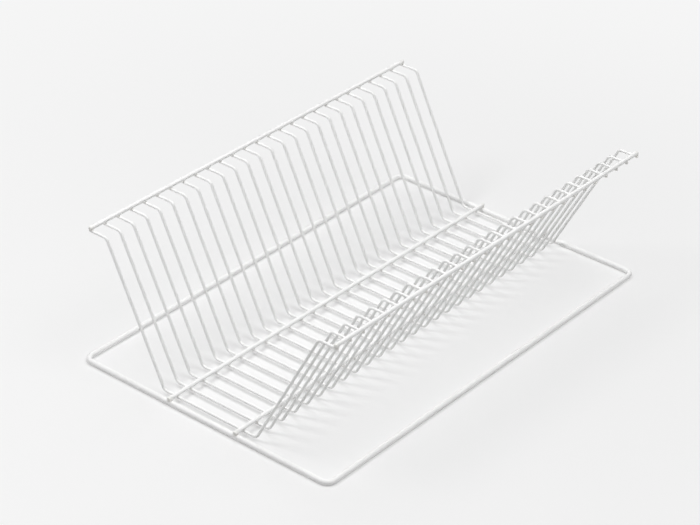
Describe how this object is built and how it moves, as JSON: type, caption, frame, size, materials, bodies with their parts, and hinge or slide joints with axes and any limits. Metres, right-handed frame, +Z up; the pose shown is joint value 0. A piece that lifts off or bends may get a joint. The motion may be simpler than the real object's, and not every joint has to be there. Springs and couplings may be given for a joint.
{
  "type": "dish drying rack",
  "caption": "Welded wire plate rack: bent cross wires form a V-shaped trough with outward lips, tied by straight rails, standing on a flat rectangular wire base frame.",
  "frame": {"origin": "on the table under the middle of the rack, in the plane that the base frame rests on", "axes": "+X along the rack from its front end to its back end, +Y to its left side, +Z up"},
  "size_m": [0.522, 0.33, 0.157],
  "materials": {
    "coated_wire": "satin white plastic dip coat on steel wire"
  },
  "bodies": {
    "root": {"base_frame": "coated_wire", "left_floor_rail": "coated_wire", "right_floor_rail": "coated_wire", "cross_wire_01": "coated_wire", "cross_wire_02": "coated_wire", "cross_wire_03": "coated_wire", "cross_wire_04": "coated_wire", "cross_wire_05": "coated_wire", "cross_wire_06": "coated_wire", "cross_wire_07": "coated_wire", "cross_wire_08": "coated_wire", "cross_wire_09": "coated_wire", "cross_wire_10": "coated_wire", "cross_wire_11": "coated_wire", "cross_wire_12": "coated_wire", "cross_wire_13": "coated_wire", "cross_wire_14": "coated_wire", "cross_wire_15": "coated_wire", "cross_wire_16": "coated_wire", "cross_wire_17": "coated_wire", "cross_wire_18": "coated_wire", "cross_wire_19": "coated_wire", "cross_wire_20": "coated_wire", "cross_wire_21": "coated_wire", "cross_wire_22": "coated_wire", "cross_wire_23": "coated_wire", "cross_wire_24": "coated_wire", "cross_wire_25": "coated_wire", "cross_wire_26": "coated_wire", "cross_wire_27": "coated_wire", "left_top_rail": "coated_wire", "right_top_rail": "coated_wire"}
  },
  "joints": []
}
